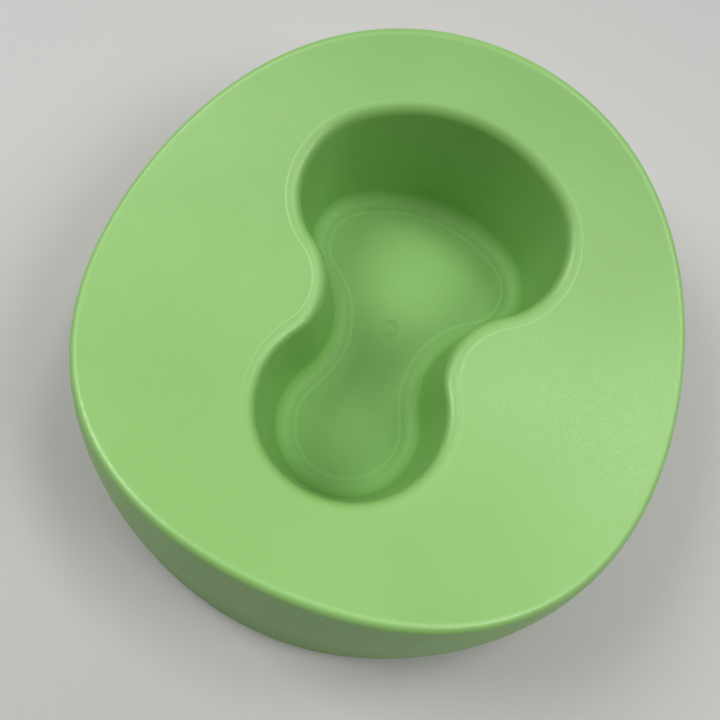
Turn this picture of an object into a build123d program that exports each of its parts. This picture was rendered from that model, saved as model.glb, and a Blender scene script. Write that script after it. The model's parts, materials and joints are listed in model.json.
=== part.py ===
"""A one-piece child's potty standing on four rubber feet.

Millimetres.  +Z is up, -Y is the child's front, X runs side to side.  The origin is on the ground,
under the middle of the round base.  The body is one thin moulded shell: a dished seat deck that
rises to the front and the back, a keyhole-shaped bowl hanging from it, and a skirt that flares out
to a round foot.  Four soft feet are pushed up into sockets moulded inside the skirt.
"""
from build123d import *
import os
from math import atan2, cos, hypot, pi, radians, sin, sqrt, tan

# ---- driving dimensions -------------------------------------------------------------------------
WALL = 2.5                  # moulded wall thickness
BASE_RADIUS = 164.0         # outside of the skirt at its lower edge
SKIRT_BOW = 3.5             # how far the skirt bows out halfway up
FOOT_STAND = 2.0            # how far the feet hold the skirt off the ground
BOWL_FLOOR_Z = 16.0         # inside floor of the bowl
BOWL_DRAFT = 5.1            # degrees that the bowl's walls lean outward
TOP_Z = 128.0               # a level above every point of the deck, where the cutting forms end

# seat deck: its height over the ground, as a low dished saddle about (0, SADDLE_Y)
SADDLE_Y = 2.2
SADDLE_Z = 75.8
DECK_DISH_Y = 0.00205       # how fast it curls up towards front and back
DECK_DISH_X = 0.00032       # how fast it curls up towards the sides

# outline of the seat deck, a soft rounded triangle about (0, RIM_Y)
RIM_Y = -1.2
RIM_RADIUS = 140.4
RIM_OVAL = -3.3
RIM_TRIANGLE = -2.1
RIM_SQUARE = -1.7
RIM_POINTS = 18             # points along the closed outline curve
SKIRT_LEVELS = 4            # outlines that the skirt's bowed wall is lofted through, after the first

# keyhole outline of the bowl at its floor: a round front lobe, a waist, a wide back lobe
FRONT_LOBE_RADIUS = 38.7
FRONT_LOBE_Y = -46.9
WAIST_RADIUS = 41.2
BACK_CORNER_RADIUS = 31.3
BACK_CORNER_X = 30.9
BACK_CORNER_Y = 54.1
BACK_RADIUS = 85.8

RIM_FILLET = 3.5            # rounded outer edge of the deck
MOUTH_FILLET = 6.8          # rounded edge where the deck turns down into the bowl
FLOOR_FILLET = 8.6          # rounded corner between the bowl's floor and walls

GATE_Y = 13.6               # moulding gate: a shallow round dimple in the bowl's floor
GATE_RADIUS = 5.5
GATE_DEPTH = 0.5

# soft feet, by name, at these directions from +X
FOOT_ANGLES = {"foot_front_left": 225, "foot_front_right": 315, "foot_back_left": 135, "foot_back_right": 45}
FOOT_RADIUS = 9.0
STEM_RADIUS = 4.0
STEM_LENGTH = 8.0
SOCKET_SPARE = 0.5          # air left above the stem
BOSS_HEIGHT = 14.0
FOOT_EDGE = 0.6             # small rounding on the foot's tread
FOOT_CIRCLE = BASE_RADIUS - WALL - FOOT_RADIUS

# how an edge of the deck is recognised
ON_SURFACE = 0.1
MOUTH_Y = 4.0               # middle of the mouth
MOUTH_REACH = 118.0         # the mouth lies inside this distance, the rim outside it


def deck_z(x, y):
    """Height of the deck's top surface over the ground."""
    return SADDLE_Z + DECK_DISH_Y * (y - SADDLE_Y) ** 2 + DECK_DISH_X * x ** 2


def rim_point(angle):
    """The deck's outline in plan; angle 0 is the front and it runs towards +X."""
    radius = RIM_RADIUS + RIM_OVAL * cos(2 * angle) + RIM_TRIANGLE * cos(3 * angle)
    radius += RIM_SQUARE * cos(4 * angle)
    return radius * sin(angle), RIM_Y - radius * cos(angle)


def skirt_point(angle, z, inset=0.0):
    """A point of the skirt: on a bowed line from the base circle up through the deck's outline."""
    rim_x, rim_y = rim_point(angle)
    share = (z - FOOT_STAND) / (deck_z(rim_x, rim_y) - FOOT_STAND)
    out = BASE_RADIUS * (1 - share) + 4 * SKIRT_BOW * share * (1 - share) - inset
    return rim_x * share + out * sin(angle), rim_y * share - out * cos(angle), z


def skirt_section(z, inset=0.0):
    """The skirt's closed outline at one height, as a face."""
    points = [skirt_point(2 * pi * i / RIM_POINTS, z, inset) for i in range(RIM_POINTS)]
    return make_face(Spline(points, periodic=True))


def skirt_form(bottom_z, inset=0.0):
    """Solid filled by the skirt, carried up past the deck."""
    rise = (TOP_Z - bottom_z) / SKIRT_LEVELS
    return loft([skirt_section(bottom_z + rise * i, inset) for i in range(SKIRT_LEVELS + 1)])


def above_deck(drop=0.0):
    """Everything over the deck's top surface, or over that surface lowered by drop."""
    reach = BASE_RADIUS + 10
    count = 5
    step = 2 * reach / (count - 1)
    grid = []
    for i in range(count):
        x = -reach + i * step
        grid.append([(x, -reach + j * step, deck_z(x, -reach + j * step) - drop) for j in range(count)])
    surface = Face.make_surface_from_array_of_points(grid, tol=0.01, min_deg=3, max_deg=3)
    return extrude(surface, amount=2 * TOP_Z, dir=(0, 0, 1))


def polar(centre, radius, angle):
    """Point on a circle in plan; angle in radians, from +X."""
    return centre[0] + radius * cos(angle), centre[1] + radius * sin(angle)


def keyhole(z, grow):
    """The bowl's keyhole outline at one height, every tangent arc moved out by grow, as a face."""
    front = (0.0, FRONT_LOBE_Y)
    corner = (BACK_CORNER_X, BACK_CORNER_Y)
    front_r = FRONT_LOBE_RADIUS + grow
    corner_r = BACK_CORNER_RADIUS + grow
    waist_r = WAIST_RADIUS - grow
    back_r = BACK_RADIUS + grow

    # the waist arc touches the front lobe and the back corner from outside
    apart = hypot(corner[0] - front[0], corner[1] - front[1])
    to_front = front_r + waist_r
    to_corner = corner_r + waist_r
    along = (to_front ** 2 - to_corner ** 2 + apart ** 2) / (2 * apart)
    across = sqrt(to_front ** 2 - along ** 2)
    ux = (corner[0] - front[0]) / apart
    uy = (corner[1] - front[1]) / apart
    waist = (front[0] + ux * along + uy * across, front[1] + uy * along - ux * across)

    # the back arc is centred on the middle line and holds the corner inside it
    back = (0.0, corner[1] - sqrt((back_r - corner_r) ** 2 - corner[0] ** 2))

    front_end = atan2(waist[1] - front[1], waist[0] - front[0])
    corner_start = atan2(waist[1] - corner[1], waist[0] - corner[0])
    corner_end = atan2(corner[1] - back[1], corner[0] - back[0])
    p0 = polar(front, front_r, -pi / 2)
    p1 = polar(front, front_r, front_end)
    p2 = polar(corner, corner_r, corner_start)
    p3 = polar(corner, corner_r, corner_end)
    p4 = polar(back, back_r, pi / 2)
    m0 = polar(front, front_r, (front_end - pi / 2) / 2)
    waist_mid = (front_end + corner_start) / 2 + pi
    m1 = polar(waist, waist_r, waist_mid)
    m2 = polar(corner, corner_r, (corner_start + corner_end) / 2)
    m3 = polar(back, back_r, (corner_end + pi / 2) / 2)
    right = [(p0, m0, p1), (p1, m1, p2), (p2, m2, p3), (p3, m3, p4)]
    left = [tuple((-x, y) for x, y in reversed(arc)) for arc in reversed(right)]
    arcs = [ThreePointArc(*[(x, y, z) for x, y in arc]) for arc in right + left]
    return make_face(Wire(arcs))


def bowl_form(floor_z, grow=0.0):
    """Solid filled by the bowl, carried up past the deck, with its walls leaning out by the draft."""
    lean = (TOP_Z - floor_z) * tan(radians(BOWL_DRAFT))
    return loft([keyhole(floor_z, grow), keyhole(TOP_Z, grow + lean)], ruled=True)


def foot_place(name):
    """Centre of a foot in plan."""
    return polar((0.0, 0.0), FOOT_CIRCLE, radians(FOOT_ANGLES[name]))


def upright(place, radius, low, high):
    """An upright round solid between two heights."""
    return Pos(place[0], place[1], low) * Cylinder(radius, high - low, align=(Align.CENTER, Align.CENTER, Align.MIN))


def edges_on_deck(solid, in_mouth, drop=0.0):
    """The edges that end the deck's surface, or its underside: round the bowl's mouth, or round the rim."""
    found = ShapeList()
    for edge in solid.edges():
        middle = edge.position_at(0.5)
        on_deck = abs(middle.Z - deck_z(middle.X, middle.Y) + drop) < ON_SURFACE
        near_bowl = hypot(middle.X, middle.Y - MOUTH_Y) < MOUTH_REACH
        if on_deck and near_bowl == in_mouth:
            found.append(edge)
    return found


def floor_edges(bowl):
    """The edges round a bowl form's flat floor."""
    return bowl.faces().sort_by(Axis.Z)[0].edges()


def make_block():
    """The body's outside skin, filled solid except for the bowl."""
    bowl = bowl_form(BOWL_FLOOR_Z)
    bowl = fillet(floor_edges(bowl), FLOOR_FILLET)
    block = skirt_form(FOOT_STAND) - above_deck()
    block = fillet(edges_on_deck(block, in_mouth=False), RIM_FILLET)
    block = block - bowl
    block = fillet(edges_on_deck(block, in_mouth=True), MOUTH_FILLET)
    return block - upright((0.0, GATE_Y), GATE_RADIUS, BOWL_FLOOR_Z - GATE_DEPTH, BOWL_FLOOR_Z + 1)


def make_hollow():
    """The space under the deck, between the bowl and the skirt, open at the bottom."""
    slope = (BASE_RADIUS - RIM_RADIUS) / (SADDLE_Z - FOOT_STAND)
    hollow = skirt_form(-FOOT_STAND, inset=WALL * hypot(1.0, slope)) - above_deck(drop=WALL)
    hollow = fillet(edges_on_deck(hollow, in_mouth=False, drop=WALL), RIM_FILLET - WALL)
    bowl = bowl_form(BOWL_FLOOR_Z - WALL, grow=WALL)
    bowl = fillet(floor_edges(bowl), FLOOR_FILLET + WALL)
    hollow = hollow - bowl
    return fillet(edges_on_deck(hollow, in_mouth=True, drop=WALL), MOUTH_FILLET - WALL)


def make_shell():
    """The moulded body: deck, bowl and skirt in one wall, with a socket for each foot."""
    places = [foot_place(name) for name in FOOT_ANGLES]
    low = FOOT_STAND
    bosses = [upright(place, FOOT_RADIUS, low, low + BOSS_HEIGHT) for place in places]
    sockets = [upright(place, STEM_RADIUS, low - 1, low + STEM_LENGTH + SOCKET_SPARE) for place in places]
    inside_wall = skirt_form(low, inset=WALL / 2)
    shell = make_block() - make_hollow()
    return shell + [boss & inside_wall for boss in bosses] - sockets


def make_foot(name):
    """A soft foot: a round tread under the skirt's edge and a stem that fills its socket."""
    place = foot_place(name)
    tread = upright(place, FOOT_RADIUS, 0.0, FOOT_STAND)
    tread = fillet(tread.faces().sort_by(Axis.Z)[0].edges(), FOOT_EDGE)
    stem = upright(place, STEM_RADIUS, FOOT_STAND, FOOT_STAND + STEM_LENGTH)
    stem = chamfer(stem.faces().sort_by(Axis.Z)[-1].edges(), FOOT_EDGE)
    return tread + stem


def main():
    os.makedirs("parts", exist_ok=True)
    export_step(make_shell(), "parts/potty_shell.step")
    for name in FOOT_ANGLES:
        export_step(make_foot(name), "parts/" + name + ".step")


main()
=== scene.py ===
"""Looks of a one-piece child's potty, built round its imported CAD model.

The moulded shell is one closed skin, swept as rows of points round the bowl: every row has one
point on each ray that leaves the middle of the bowl's floor.  Sizes are in millimetres until a
mesh is made, then metres.  Dimensions repeat the CAD model's, apart from the gate mark's depth and
the fine moulded lines, which the CAD model doesn't have.
"""
import json
import math

import bpy
import numpy as np
from mathutils import Matrix, Vector

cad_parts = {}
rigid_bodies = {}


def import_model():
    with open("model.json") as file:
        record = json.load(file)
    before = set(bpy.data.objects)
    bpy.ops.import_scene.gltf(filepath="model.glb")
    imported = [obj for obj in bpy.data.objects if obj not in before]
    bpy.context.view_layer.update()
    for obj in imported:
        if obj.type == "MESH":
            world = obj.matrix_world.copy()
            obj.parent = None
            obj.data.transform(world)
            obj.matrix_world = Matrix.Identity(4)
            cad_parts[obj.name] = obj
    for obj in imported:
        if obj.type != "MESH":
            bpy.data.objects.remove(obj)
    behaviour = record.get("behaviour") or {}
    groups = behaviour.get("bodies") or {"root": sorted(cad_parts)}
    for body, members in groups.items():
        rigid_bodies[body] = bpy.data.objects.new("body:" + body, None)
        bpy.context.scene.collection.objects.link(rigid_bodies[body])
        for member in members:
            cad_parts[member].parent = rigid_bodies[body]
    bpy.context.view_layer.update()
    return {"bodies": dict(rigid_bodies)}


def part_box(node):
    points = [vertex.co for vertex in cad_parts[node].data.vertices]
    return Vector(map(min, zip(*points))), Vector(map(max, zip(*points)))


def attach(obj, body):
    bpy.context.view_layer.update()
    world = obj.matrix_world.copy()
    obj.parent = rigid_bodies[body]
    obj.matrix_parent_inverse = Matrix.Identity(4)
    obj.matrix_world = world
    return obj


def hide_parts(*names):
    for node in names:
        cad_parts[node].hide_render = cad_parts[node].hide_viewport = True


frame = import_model()

MM = 0.001

# ---- dimensions of the shell, as in the CAD model, in millimetres -----------------------------------
WALL = 2.5
BASE_RADIUS = 164.0
SKIRT_BOW = 3.5
FOOT_STAND = 2.0
BOWL_FLOOR_Z = 16.0
BOWL_DRAFT = math.radians(5.1)

SADDLE_Y = 2.2
SADDLE_Z = 75.8
DECK_DISH_Y = 0.00205
DECK_DISH_X = 0.00032

RIM_Y = -1.2
RIM_RADIUS = 140.4
RIM_OVAL = -3.3
RIM_TRIANGLE = -2.1
RIM_SQUARE = -1.7

FRONT_LOBE_RADIUS = 38.7
FRONT_LOBE_Y = -46.9
WAIST_RADIUS = 41.2
BACK_CORNER_RADIUS = 31.3
BACK_CORNER_X = 30.9
BACK_CORNER_Y = 54.1
BACK_RADIUS = 85.8

RIM_FILLET = 3.5
MOUTH_FILLET = 6.8
FLOOR_FILLET = 8.6

GATE_Y = 13.6
GATE_RADIUS = 5.5
GATE_DEPTH = 1.1            # the CAD model's mark is shallower, too faint to see here
GATE_FALL = 3.4             # width of the slope from the floor down into the mark
GATE_NUB_RADIUS = 1.4
GATE_NUB_HEIGHT = 0.35
GATE_NUB_FALL = 2.0

WITNESS_HEIGHT = 0.1        # raised line that the mould leaves round the mouth
WITNESS_HALF_WIDTH = 0.7
FLOOR_LINE_HEIGHT = 0.08    # and the softer one round the bowl's floor
FLOOR_LINE_HALF_WIDTH = 1.7
WITNESS_PAINTED_HIGHLIGHT = 0.35         # painted highlight: how far those lines are lightened, standing in for the light their raised edges catch
FLOOR_LINE_PAINTED_HIGHLIGHT = 0.22

DULL_BELOW_Z = 24.0         # low in the bowl and low on the skirt the plastic is duller,
GLOSSY_ABOVE_Z = 64.0       # and from here up it has its full gloss
EXTRA_ROUGHNESS = 0.22

FOOT_RADIUS = 9.0
STEM_RADIUS = 4.0
STEM_TOP_Z = 10.0
BOSS_HEIGHT = 14.0
BOSS_ROOF = 4.0             # thickness of plastic over the socket's bore
SOCKET_GAP = 0.02           # clearance between a foot and its socket
GROOVE_RADII = (2.2, 4.4, 6.6)
GROOVE_HALF_WIDTH = 0.5
GROOVE_FLOOR_HALF_WIDTH = 0.3
GROOVE_DEPTH = 0.35

# ---- rays round the middle of the bowl's floor -----------------------------------------------------
# and how many rows of points cross each part of the skin.  The counts of the fillets, the wall, the
# skirt and the lower edge include rows that they share with their neighbours.
RAYS = 432
GATE_RINGS = (0.3, 0.7, 1.0, 1.3, 1.7, 2.1, 2.6, 3.2, 3.7, 4.2, 4.7, 5.2, 5.7, 6.3, 7.5)
FLOOR_START = 8.5           # radius of the first row that bends towards the keyhole
FLOOR_ROWS = 20
FLOOR_LINE_ROWS = 9
FLOOR_FILLET_ROWS = 12
WALL_ROWS = 16
MOUTH_FILLET_ROWS = 15
WITNESS_STEPS = (0.25, 0.5, 0.75, 1.0, 1.25, 1.5, 1.75, 2.0, 3.0, 5.0)
DECK_START = 6.0            # in half widths of the witness line, as the steps before it
DECK_ROWS = 44
RIM_FILLET_ROWS = 13
SKIRT_ROWS = 26
LIP_ROWS = 8

CENTRE = np.array([0.0, GATE_Y])
ANGLE = np.linspace(0.0, 2 * math.pi, RAYS, endpoint=False)
RAY = np.stack([np.sin(ANGLE), -np.cos(ANGLE)], axis=-1)


def deck_z(x, y):
    """Height of the seat deck's top surface."""
    return SADDLE_Z + DECK_DISH_Y * (y - SADDLE_Y) ** 2 + DECK_DISH_X * x ** 2


def deck_slope(x, y):
    """Gradient of the deck's height."""
    return 2 * DECK_DISH_X * x, 2 * DECK_DISH_Y * (y - SADDLE_Y)


def on_rays(outline):
    """Distance from the centre to a closed outline, along every ray."""
    away = outline - CENTRE
    angle = np.arctan2(away[:, 0], -away[:, 1]) % (2 * math.pi)
    order = np.argsort(angle)
    return np.interp(ANGLE, angle[order], np.hypot(away[:, 0], away[:, 1])[order], period=2 * math.pi)


def arc(centre, radius, start, end, count=260):
    """Points along an arc, without its last point."""
    turn = np.linspace(start, end, count, endpoint=False)
    return np.stack([centre[0] + radius * np.cos(turn), centre[1] + radius * np.sin(turn)], axis=-1)


def heading(a, b):
    """Direction from a to b, in radians."""
    return math.atan2(b[1] - a[1], b[0] - a[0])


def keyhole(grow):
    """The bowl's keyhole outline, every tangent arc moved out by grow."""
    front = (0.0, FRONT_LOBE_Y)
    corner = (BACK_CORNER_X, BACK_CORNER_Y)
    front_r = FRONT_LOBE_RADIUS + grow
    corner_r = BACK_CORNER_RADIUS + grow
    waist_r = WAIST_RADIUS - grow
    back_r = BACK_RADIUS + grow
    apart = math.dist(front, corner)
    to_front = front_r + waist_r
    to_corner = corner_r + waist_r
    along = (to_front ** 2 - to_corner ** 2 + apart ** 2) / (2 * apart)
    across = math.sqrt(to_front ** 2 - along ** 2)
    ux = (corner[0] - front[0]) / apart
    uy = (corner[1] - front[1]) / apart
    waist = (front[0] + ux * along + uy * across, front[1] + uy * along - ux * across)
    back = (0.0, corner[1] - math.sqrt((back_r - corner_r) ** 2 - corner[0] ** 2))
    front_end = heading(front, waist)
    corner_start = heading(corner, waist)
    corner_end = heading(back, corner)
    half = np.concatenate([
        arc(front, front_r, -math.pi / 2, front_end),
        arc(waist, waist_r, front_end + math.pi, corner_start + math.pi),
        arc(corner, corner_r, corner_start, corner_end),
        arc(back, back_r, corner_end, math.pi / 2),
    ])
    return np.concatenate([half, half[::-1] * [-1, 1]])


GROW_STEPS = np.arange(-12.0, 34.0, 0.5)
KEYHOLE_TABLE = np.stack([on_rays(keyhole(grow)) for grow in GROW_STEPS])


# first guesses for the searches along the rays, and rounds of improvement until they settle
FIRST_MOUTH_END = 13.0
FIRST_RIM_Z = 90.0
ROUNDS = 12
RIM_ROUNDS = 40
CORNER_ROUNDS = 20


def keyhole_r(grow):
    """Distance along each ray to the keyhole outline moved out by grow, a number or one per ray."""
    position = (np.broadcast_to(grow, RAYS) - GROW_STEPS[0]) / (GROW_STEPS[1] - GROW_STEPS[0])
    low = np.clip(position.astype(int), 0, len(GROW_STEPS) - 2)
    share = position - low
    column = np.arange(RAYS)
    return KEYHOLE_TABLE[low, column] * (1 - share) + KEYHOLE_TABLE[low + 1, column] * share


def skirt_outline(z):
    """The skirt's outline at one height: bowed lines from the base circle through the deck's rim."""
    turn = np.linspace(0.0, 2 * math.pi, 720, endpoint=False)
    radius = RIM_RADIUS + RIM_OVAL * np.cos(2 * turn) + RIM_TRIANGLE * np.cos(3 * turn)
    radius += RIM_SQUARE * np.cos(4 * turn)
    heading_out = np.stack([np.sin(turn), -np.cos(turn)], axis=-1)
    rim = heading_out * radius[:, None] + [0.0, RIM_Y]
    share = ((z - FOOT_STAND) / (deck_z(rim[:, 0], rim[:, 1]) - FOOT_STAND))[:, None]
    out = BASE_RADIUS * (1 - share) + 4 * SKIRT_BOW * share * (1 - share)
    return rim * share + heading_out * out


HEIGHTS = np.arange(0.0, 130.0, 2.0)
SKIRT_TABLE = np.stack([on_rays(skirt_outline(z)) for z in HEIGHTS])


def skirt_r(z):
    """Distance along each ray to the skirt at a height, a number or one per ray."""
    position = (np.broadcast_to(z, RAYS) - HEIGHTS[0]) / (HEIGHTS[1] - HEIGHTS[0])
    low = np.clip(position.astype(int), 0, len(HEIGHTS) - 2)
    share = position - low
    column = np.arange(RAYS)
    return SKIRT_TABLE[low, column] * (1 - share) + SKIRT_TABLE[low + 1, column] * share


def place(radius, z, painted_highlight=0.0):
    """One row of the skin: x, y, z and how much painted highlight lightens the plastic, for every ray."""
    flat = CENTRE + RAY * np.broadcast_to(radius, RAYS)[:, None]
    return np.column_stack([flat, np.broadcast_to(z, RAYS), np.broadcast_to(painted_highlight, RAYS)])


def on_deck(radius, rise=0.0, painted_highlight=0.0):
    """One row lying on the seat deck, or raised over it."""
    flat = CENTRE + RAY * radius[:, None]
    return place(radius, deck_z(flat[:, 0], flat[:, 1]) + rise, painted_highlight)


def outward_normal(radius):
    """Unit normal, in plan, of the closed outline that the radii describe."""
    flat = CENTRE + RAY * radius[:, None]
    run = np.roll(flat, -1, axis=0) - np.roll(flat, 1, axis=0)
    normal = np.stack([run[:, 1], -run[:, 0]], axis=-1)
    return normal / np.linalg.norm(normal, axis=1, keepdims=True)


def floor_rows():
    """The bowl's flat floor: circles round the moulding gate that turn into the keyhole outline."""
    rows = []
    for radius in GATE_RINGS:
        nub = GATE_NUB_HEIGHT * smooth_fall(radius, GATE_NUB_RADIUS, GATE_NUB_FALL)
        dimple = GATE_DEPTH * smooth_fall(radius, GATE_RADIUS - 1.0, GATE_FALL)
        rows.append(place(radius, BOWL_FLOOR_Z - dimple + nub))
    edge = floor_tangent()
    flat_end = keyhole_r(edge - 2 * FLOOR_LINE_HALF_WIDTH)
    for share in np.linspace(0.0, 1.0, FLOOR_ROWS, endpoint=False):
        rows.append(place(FLOOR_START + (flat_end - FLOOR_START) * share, BOWL_FLOOR_Z))
    # the soft line round the floor's edge: raised a little and lightened with painted highlight
    for step in np.linspace(-2.0, 0.0, FLOOR_LINE_ROWS):
        shape = ridge(step + 1.0)
        line = keyhole_r(edge + step * FLOOR_LINE_HALF_WIDTH)
        rows.append(place(line, BOWL_FLOOR_Z + FLOOR_LINE_HEIGHT * shape, FLOOR_LINE_PAINTED_HIGHLIGHT * shape))
    return rows


def smooth_fall(value, middle, width):
    """1 well below middle, 0 well above it, with a smooth step of the given width."""
    share = min(1.0, max(0.0, (middle + width / 2 - value) / width))
    return share * share * (3 - 2 * share)


def ridge(t):
    """A smooth bump, 1 at t = 0 and 0 beyond t = -1 and 1."""
    return 0.5 + 0.5 * math.cos(math.pi * max(-1.0, min(1.0, t)))


def floor_tangent():
    """How far inside the sharp floor outline the floor fillet starts."""
    return -FLOOR_FILLET * math.tan((math.pi / 2 - BOWL_DRAFT) / 2)


def floor_fillet_rows():
    """The rounded corner from the floor up into the wall."""
    rows = []
    for turn in np.linspace(0.0, math.pi / 2 - BOWL_DRAFT, FLOOR_FILLET_ROWS)[1:]:
        grow = floor_tangent() + FLOOR_FILLET * math.sin(turn)
        rows.append(place(keyhole_r(grow), BOWL_FLOOR_Z + FLOOR_FILLET * (1 - math.cos(turn))))
    return rows


def mouth_arc():
    """The mouth fillet for every ray: its start on the wall, how far it turns, its end on the deck."""
    end = np.full(RAYS, FIRST_MOUTH_END)
    wall_up = (math.sin(BOWL_DRAFT), math.cos(BOWL_DRAFT))
    for _ in range(ROUNDS):
        radius = keyhole_r(end)
        row = on_deck(radius)
        normal = outward_normal(radius)
        gx, gy = deck_slope(row[:, 0], row[:, 1])
        slope = gx * normal[:, 0] + gy * normal[:, 1]
        # where the wall's line meets the deck's tangent line
        t = math.tan(BOWL_DRAFT)
        corner = (row[:, 2] - slope * end - BOWL_FLOOR_Z) / (1 / t - slope)
        turn = math.pi / 2 - BOWL_DRAFT - np.arctan(slope)
        reach = MOUTH_FILLET * np.tan(turn / 2)
        end = corner + reach / np.sqrt(1 + slope ** 2)
    corner_z = BOWL_FLOOR_Z + corner / t
    start = corner - reach * wall_up[0]
    start_z = corner_z - reach * wall_up[1]
    return start, start_z, turn, end


def wall_rows(start, start_z):
    """The bowl's drafted wall, from the floor fillet to the mouth fillet."""
    low_z = BOWL_FLOOR_Z + FLOOR_FILLET * (1 - math.sin(BOWL_DRAFT))
    low = floor_tangent() + FLOOR_FILLET * math.cos(BOWL_DRAFT)
    rows = []
    for share in np.linspace(0.0, 1.0, WALL_ROWS)[1:]:
        rows.append(place(keyhole_r(low + (start - low) * share), low_z + (start_z - low_z) * share))
    return rows


def mouth_fillet_rows(start, start_z, turn):
    """The rounded edge where the wall turns out into the deck."""
    rows = []
    c, s = math.cos(BOWL_DRAFT), math.sin(BOWL_DRAFT)
    for share in np.linspace(0.0, 1.0, MOUTH_FILLET_ROWS)[1:]:
        a = turn * share
        grow = start + MOUTH_FILLET * ((1 - np.cos(a)) * c + np.sin(a) * s)
        z = start_z + MOUTH_FILLET * (np.sin(a) * c - (1 - np.cos(a)) * s)
        rows.append(place(keyhole_r(grow), z))
    return rows


def rim_arc():
    """The rim fillet in each ray's upright plane: where it starts on the deck, its rise and turn."""
    z = np.full(RAYS, FIRST_RIM_Z)
    for _ in range(RIM_ROUNDS):
        flat = CENTRE + RAY * skirt_r(z)[:, None]
        z = 0.5 * z + 0.5 * deck_z(flat[:, 0], flat[:, 1])
    start = skirt_r(z) - RIM_FILLET
    for _ in range(ROUNDS):
        row = on_deck(start)
        gx, gy = deck_slope(row[:, 0], row[:, 1])
        up = gx * RAY[:, 0] + gy * RAY[:, 1]
        lean = (skirt_r(z - 1.0) - skirt_r(z + 1.0)) / 2.0
        # corner where the deck's tangent line meets the skirt's line
        corner_r = skirt_r(z)
        for _ in range(CORNER_ROUNDS):
            corner_z = row[:, 2] + up * (corner_r - start)
            corner_r = skirt_r(corner_z)
        turn = np.arctan(up) + math.pi / 2 - np.arctan(lean)
        reach = RIM_FILLET * np.tan(turn / 2)
        start = corner_r - reach / np.sqrt(1 + up ** 2)
        z = corner_z
    return start, row[:, 2], np.arctan(up), turn


def rim_fillet_rows(start, start_z, rise, turn):
    """The rounded outer edge, from the deck over to the skirt."""
    rows = []
    for share in np.linspace(0.0, 1.0, RIM_FILLET_ROWS)[1:]:
        a = turn * share
        # turn clockwise from the deck's rising direction
        radius = start + RIM_FILLET * (np.sin(rise) - np.sin(rise - a))
        z = start_z + RIM_FILLET * (np.cos(rise - a) - np.cos(rise))
        rows.append(place(radius, z))
    return rows


def deck_rows(mouth_end, rim_start):
    """The seat deck, with the raised witness line beside the mouth, clearest along its sides, where it is
    also lightened with painted highlight.
    """
    rows = []
    beside = RAY[:, 0] ** 2
    for step in WITNESS_STEPS:
        shape = ridge(step - 1.0)
        line = keyhole_r(mouth_end + step * WITNESS_HALF_WIDTH)
        rows.append(on_deck(line, WITNESS_HEIGHT * beside * shape, WITNESS_PAINTED_HIGHLIGHT * beside * shape))
    inner = keyhole_r(mouth_end + DECK_START * WITNESS_HALF_WIDTH)
    for share in np.linspace(0.0, 1.0, DECK_ROWS):
        rows.append(on_deck(inner + (rim_start - inner) * share))
    return rows


def skirt_rows(top_z):
    """The flared skirt, down to its lower edge."""
    rows = []
    for share in np.linspace(0.0, 1.0, SKIRT_ROWS)[1:]:
        z = top_z + (FOOT_STAND + WALL / 2 - top_z) * share
        rows.append(place(skirt_r(z), z))
    return rows


def outside_rows():
    """Every row of the outside skin, from the gate in the bowl's floor to the skirt's lower edge."""
    start, start_z, turn, end = mouth_arc()
    rim_start, rim_z, rise, rim_turn = rim_arc()
    rows = floor_rows() + floor_fillet_rows() + wall_rows(start, start_z)
    rows += mouth_fillet_rows(start, start_z, turn)
    rows += deck_rows(end, rim_start)
    rim = rim_fillet_rows(rim_start, rim_z, rise, rim_turn)
    return np.array(rows + rim + skirt_rows(rim[-1][:, 2]))


def row_normals(rows):
    """Unit normals of the skin that the rows form, pointing outward."""
    points = rows[..., :3]
    across = np.gradient(points, axis=0)
    around = np.roll(points, -1, axis=1) - np.roll(points, 1, axis=1)
    normal = np.cross(across, around)
    return normal / np.linalg.norm(normal, axis=2, keepdims=True)


def make_skin():
    """The whole closed skin: outside rows, the rounded lower edge, then fewer rows back inside."""
    outside = outside_rows()
    normals = row_normals(outside)
    last_ring = len(GATE_RINGS) - 1
    last_floor = last_ring + FLOOR_ROWS
    last_line = last_floor + FLOOR_LINE_ROWS
    kept = np.r_[last_ring:last_floor:4, last_line:len(outside):2, len(outside) - 1]
    inside = outside.copy()
    inside[..., :3] -= normals * WALL
    inside[..., 3] = 0.0
    inside = inside[kept][::-1]
    # the lower edge is a half round between the two walls
    out_edge = outside[-1]
    in_edge = inside[0]
    middle = (out_edge + in_edge) / 2
    half = (out_edge - in_edge) / 2
    down = np.array([0.0, 0.0, -WALL / 2, 0.0])
    turns = np.linspace(0, math.pi, LIP_ROWS)[1:-1]
    lip = [middle + half * math.cos(turn) + down * math.sin(turn) for turn in turns]
    return np.concatenate([outside, lip, inside])


def mesh_from_rows(name, rows):
    """A mesh object of closed rings joined row to row, with a point closing each end."""
    count, around = rows.shape[:2]
    caps = np.array([rows[0].mean(axis=0), rows[-1].mean(axis=0)])
    values = np.concatenate([rows.reshape(count * around, -1), caps])
    points = values[:, :3] * MM
    faces = []
    for i in range(count - 1):
        for j in range(around):
            k = (j + 1) % around
            faces.append((i * around + j, (i + 1) * around + j, (i + 1) * around + k, i * around + k))
    first, last = count * around, count * around + 1
    for j in range(around):
        k = (j + 1) % around
        faces.append((first, j, k))
        faces.append((last, (count - 1) * around + k, (count - 1) * around + j))
    mesh = bpy.data.meshes.new(name)
    mesh.from_pydata(points.tolist(), [], faces)
    # a fourth value is the painted highlight on the moulded lines, stored as the "pale" attribute
    if values.shape[1] > 3:
        painted_highlight = mesh.attributes.new("pale", "FLOAT", "POINT")
        painted_highlight.data.foreach_set("value", values[:, 3])
    mesh.validate()
    mesh.shade_smooth()
    piece = bpy.data.objects.new(name, mesh)
    bpy.context.scene.collection.objects.link(piece)
    return piece


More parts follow.
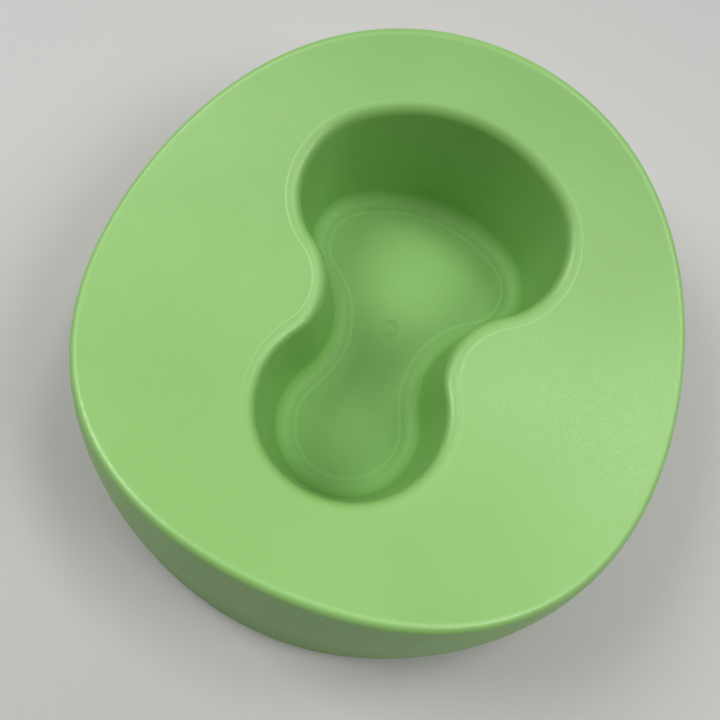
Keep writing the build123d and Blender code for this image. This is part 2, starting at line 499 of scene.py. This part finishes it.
def lathe(profile, centre, segments=64):
    """Rows of a round piece from a profile of (radius, height) points, from its inside to its outside."""
    turn = np.linspace(0.0, 2 * math.pi, segments, endpoint=False)
    rows = []
    for radius, height in profile:
        x = centre[0] + radius * np.cos(turn)
        y = centre[1] + radius * np.sin(turn)
        rows.append(np.column_stack([x, y, np.full(segments, height)]))
    return np.array(rows)[::-1]


# ---- materials -------------------------------------------------------------------------------------
def new_material(name):
    """An empty node material and its shader."""
    material = bpy.data.materials.new(name)
    material.use_nodes = True
    shader = material.node_tree.nodes["Principled BSDF"]
    return material, shader


def node(material, kind, **values):
    """A shader node with its properties set."""
    made = material.node_tree.nodes.new(kind)
    for key, value in values.items():
        setattr(made, key, value)
    return made


def link(material, source, output, target, socket):
    """Joins one node's output to another's input, each by name or number."""
    material.node_tree.links.new(source.outputs[output], target.inputs[socket])


def noise(material, coordinates, scale, detail, roughness):
    """Noise over the object's own coordinates; scale is in cycles per metre."""
    made = node(material, "ShaderNodeTexNoise")
    made.inputs["Scale"].default_value = scale
    made.inputs["Detail"].default_value = detail
    made.inputs["Roughness"].default_value = roughness
    link(material, coordinates, "Object", made, "Vector")
    return made


def ramp(material, source, output, low, high, start=0.0, end=1.0):
    """Maps a value from one range onto another."""
    made = node(material, "ShaderNodeMapRange")
    made.inputs["From Min"].default_value = start
    made.inputs["From Max"].default_value = end
    made.inputs["To Min"].default_value = low
    made.inputs["To Max"].default_value = high
    link(material, source, output, made, "Value")
    return made


def bump(material, source, output, distance, strength, under=None):
    """A bump from a height, laid over another bump."""
    made = node(material, "ShaderNodeBump")
    made.inputs["Distance"].default_value = distance
    made.inputs["Strength"].default_value = strength
    link(material, source, output, made, "Height")
    if under is not None:
        link(material, under, "Normal", made, "Normal")
    return made


def green_plastic():
    """Matte apple-green polypropylene with a fine moulded grain, and a painted highlight that lightens
    the moulded lines.
    """
    material, shader = new_material("green_plastic")
    coordinates = node(material, "ShaderNodeTexCoord")
    grain = noise(material, coordinates, 900.0, 2.0, 0.6)
    fine = noise(material, coordinates, 2600.0, 1.0, 0.5)
    cloud = noise(material, coordinates, 14.0, 3.0, 0.55)
    colour = node(material, "ShaderNodeMix", data_type="RGBA")
    colour.inputs[6].default_value = (0.325, 0.560, 0.205, 1.0)
    colour.inputs[7].default_value = (0.350, 0.590, 0.228, 1.0)
    link(material, ramp(material, cloud, "Fac", 0.0, 1.0, 0.3, 0.7), "Result", colour, 0)
    # painted highlight: the "pale" attribute mixes in the paler green below on the moulded lines,
    # standing in for the light their edges catch
    pale = node(material, "ShaderNodeAttribute", attribute_name="pale")
    with_painted_highlight = node(material, "ShaderNodeMix", data_type="RGBA")
    with_painted_highlight.inputs[7].default_value = (0.52, 0.82, 0.40, 1.0)
    link(material, pale, "Fac", with_painted_highlight, 0)
    link(material, colour, 2, with_painted_highlight, 6)
    link(material, with_painted_highlight, 2, shader, "Base Color")
    height = node(material, "ShaderNodeSeparateXYZ")
    link(material, coordinates, "Object", height, "Vector")
    duller = ramp(material, height, "Z", EXTRA_ROUGHNESS, 0.0, DULL_BELOW_Z * MM, GLOSSY_ABOVE_Z * MM)
    rough = node(material, "ShaderNodeMath", operation="ADD")
    link(material, ramp(material, grain, "Fac", 0.36, 0.50, 0.3, 0.7), "Result", rough, 0)
    link(material, duller, "Result", rough, 1)
    link(material, rough, "Value", shader, "Roughness")
    low = bump(material, grain, "Fac", 0.00010, 0.5)
    top = bump(material, fine, "Fac", 0.00004, 0.3, under=low)
    link(material, top, "Normal", shader, "Normal")
    shader.inputs["IOR"].default_value = 1.49
    shader.inputs["Specular IOR Level"].default_value = 1.0
    return material


def foot_rubber():
    """Soft grey-white thermoplastic rubber, faintly mottled."""
    material, shader = new_material("foot_rubber")
    coordinates = node(material, "ShaderNodeTexCoord")
    mottle = noise(material, coordinates, 260.0, 3.0, 0.6)
    grain = noise(material, coordinates, 2200.0, 2.0, 0.6)
    colour = node(material, "ShaderNodeMix", data_type="RGBA")
    colour.inputs[6].default_value = (0.30, 0.31, 0.28, 1.0)
    colour.inputs[7].default_value = (0.40, 0.41, 0.37, 1.0)
    link(material, ramp(material, mottle, "Fac", 0.0, 1.0, 0.3, 0.7), "Result", colour, 0)
    link(material, colour, 2, shader, "Base Color")
    link(material, ramp(material, grain, "Fac", 0.62, 0.80, 0.3, 0.7), "Result", shader, "Roughness")
    link(material, bump(material, grain, "Fac", 0.0001, 0.4), "Normal", shader, "Normal")
    return material


def floor_paint():
    """Plain pale floor."""
    material, shader = new_material("pale_floor")
    shader.inputs["Base Color"].default_value = (0.64, 0.63, 0.63, 1.0)
    shader.inputs["Roughness"].default_value = 0.8
    return material


# ---- pieces ----------------------------------------------------------------------------------------
def foot_centre(name):
    """Middle of a foot in plan, in millimetres, from its CAD node's box."""
    low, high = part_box(name)
    return (low[0] + high[0]) / 2 / MM, (low[1] + high[1]) / 2 / MM


def inside_skirt(rows):
    """Moves points that stand out through the skirt's wall back into the middle of its thickness."""
    flat = rows[..., :2] - CENTRE
    away = np.hypot(flat[..., 0], flat[..., 1])
    angle = np.arctan2(flat[..., 0], -flat[..., 1]) % (2 * math.pi)
    limit = np.empty_like(away)
    for i, row in enumerate(rows):
        wall = skirt_r(row[0, 2]) - WALL * 0.6
        limit[i] = np.interp(angle[i], ANGLE, wall, period=2 * math.pi)
    share = np.minimum(1.0, limit / away)
    rows[..., :2] = CENTRE + flat * share[..., None]
    return rows


def make_boss(name, centre):
    """The moulded socket that holds a foot: a tube with a closed top, merged into the skirt's wall."""
    top = FOOT_STAND + BOSS_HEIGHT
    bore = STEM_RADIUS + SOCKET_GAP
    profile = [
        (bore, top - BOSS_ROOF), (bore, FOOT_STAND), (FOOT_RADIUS - 0.6, FOOT_STAND),
        (FOOT_RADIUS - 0.17, FOOT_STAND + 0.17), (FOOT_RADIUS, FOOT_STAND + 0.6),
    ]
    profile += [(FOOT_RADIUS - 0.02 * rise, FOOT_STAND + rise) for rise in range(2, 13, 2)]
    profile += [(FOOT_RADIUS - 0.3, top - 0.9), (FOOT_RADIUS - 0.6, top - 0.3), (FOOT_RADIUS - 1.2, top)]
    return mesh_from_rows(name, inside_skirt(lathe(profile, centre)))


def make_foot(name, centre):
    """A soft foot: a round tread with shallow grooves, and the stem in its socket."""
    profile = []
    under_socket = FOOT_STAND - SOCKET_GAP
    for groove in GROOVE_RADII:
        profile += [(groove - GROOVE_HALF_WIDTH, 0.0), (groove - GROOVE_FLOOR_HALF_WIDTH, GROOVE_DEPTH)]
        profile += [(groove + GROOVE_FLOOR_HALF_WIDTH, GROOVE_DEPTH), (groove + GROOVE_HALF_WIDTH, 0.0)]
    profile += [(FOOT_RADIUS - 0.7, 0.0), (FOOT_RADIUS - 0.25, 0.12), (FOOT_RADIUS - 0.05, 0.45)]
    profile += [(FOOT_RADIUS, 0.9), (FOOT_RADIUS, 1.7), (FOOT_RADIUS - 0.2, under_socket)]
    profile += [(STEM_RADIUS, under_socket), (STEM_RADIUS - 0.1, STEM_TOP_Z - 0.8)]
    profile += [(STEM_RADIUS - 0.8, STEM_TOP_Z)]
    return mesh_from_rows(name, lathe(profile, centre))


def build_object():
    """The shell, its foot sockets and the feet, riding on the CAD body."""
    body = list(frame["bodies"])[0]
    green = green_plastic()
    rubber = foot_rubber()
    shell = mesh_from_rows("potty_shell_skin", make_skin())
    shell.data.materials.append(green)
    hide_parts("potty_shell")
    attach(shell, body)
    for name in ("foot_front_left", "foot_front_right", "foot_back_left", "foot_back_right"):
        centre = foot_centre(name)
        boss = make_boss(name.replace("foot", "socket"), centre)
        boss.data.materials.append(green)
        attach(boss, body)
        foot = make_foot(name + "_tread", centre)
        foot.data.materials.append(rubber)
        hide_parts(name)
        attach(foot, body)


# ---- stage, light and camera -----------------------------------------------------------------------
def make_floor():
    """A wide pale floor under the feet, 8 metres square."""
    half = 4.0
    mesh = bpy.data.meshes.new("floor")
    corners = [(-half, -half, 0), (half, -half, 0), (half, half, 0), (-half, half, 0)]
    mesh.from_pydata(corners, [], [(0, 1, 2, 3)])
    floor = bpy.data.objects.new("floor", mesh)
    bpy.context.scene.collection.objects.link(floor)
    floor.data.materials.append(floor_paint())


def add_light(name, location, target, size, power):
    """A square white area light aimed at a point."""
    light = bpy.data.lights.new(name, "AREA")
    light.size = size
    light.energy = power
    holder = bpy.data.objects.new(name, light)
    holder.location = location
    holder.rotation_mode = "QUATERNION"
    holder.rotation_quaternion = (Vector(target) - Vector(location)).to_track_quat("-Z", "Y")
    bpy.context.scene.collection.objects.link(holder)


LIGHT_TARGET = (0, 0, 0.05)
PANELS = (                  # name, place in metres, side in metres, power in watts
    ("back_panel", (0.3, 0.5, 1.3), 0.25, 2.4),
    ("top_panel", (-0.05, -0.05, 1.3), 0.4, 0.9),
    ("left_panel", (-0.75, 0.05, 1.0), 0.5, 6.1),
    ("right_panel", (0.75, 0.05, 1.0), 0.5, 4.9),
)


def make_light():
    """Soft studio light: a panel at each side, weaker ones above and behind, a sky brighter behind."""
    world = bpy.data.worlds.new("studio")
    bpy.context.scene.world = world
    world.use_nodes = True
    sky = world.node_tree.nodes["Background"]
    sky.inputs["Color"].default_value = (1.0, 0.99, 0.97, 1.0)
    direction = node(world, "ShaderNodeTexCoord")
    split = node(world, "ShaderNodeSeparateXYZ")
    link(world, direction, "Generated", split, "Vector")
    link(world, ramp(world, split, "Y", 0.12, 0.58, -1.0, 1.0), "Result", sky, "Strength")
    for name, location, size, power in PANELS:
        add_light(name, location, LIGHT_TARGET, size, power)
    bpy.context.scene.view_settings.view_transform = "Standard"
    bpy.context.scene.view_settings.gamma = 0.74


VIEW_TARGET = Vector((-8.2, -10.1, 16.0)) * MM
VIEW_DISTANCE = 403.2 * MM
VIEW_AZIMUTH = math.radians(10.7)       # from straight in front, towards +X
VIEW_ELEVATION = math.radians(75.4)
VIEW_ROLL = math.radians(12.5)


def make_camera():
    """The photograph's viewpoint: nearly overhead, from the front."""
    back = Vector((
        math.sin(VIEW_AZIMUTH) * math.cos(VIEW_ELEVATION),
        -math.cos(VIEW_AZIMUTH) * math.cos(VIEW_ELEVATION),
        math.sin(VIEW_ELEVATION),
    ))
    data = bpy.data.cameras.new("camera")
    data.sensor_width = 36.0
    data.lens = 36.0
    data.clip_start = 0.01
    data.clip_end = 20.0
    camera = bpy.data.objects.new("camera", data)
    camera.rotation_mode = "QUATERNION"
    level = (-back).to_track_quat("-Z", "Y")
    camera.rotation_quaternion = level @ Matrix.Rotation(VIEW_ROLL, 3, "Z").to_quaternion()
    camera.location = VIEW_TARGET + back * VIEW_DISTANCE
    bpy.context.scene.collection.objects.link(camera)
    bpy.context.scene.camera = camera


build_object()
make_floor()
make_light()
make_camera()
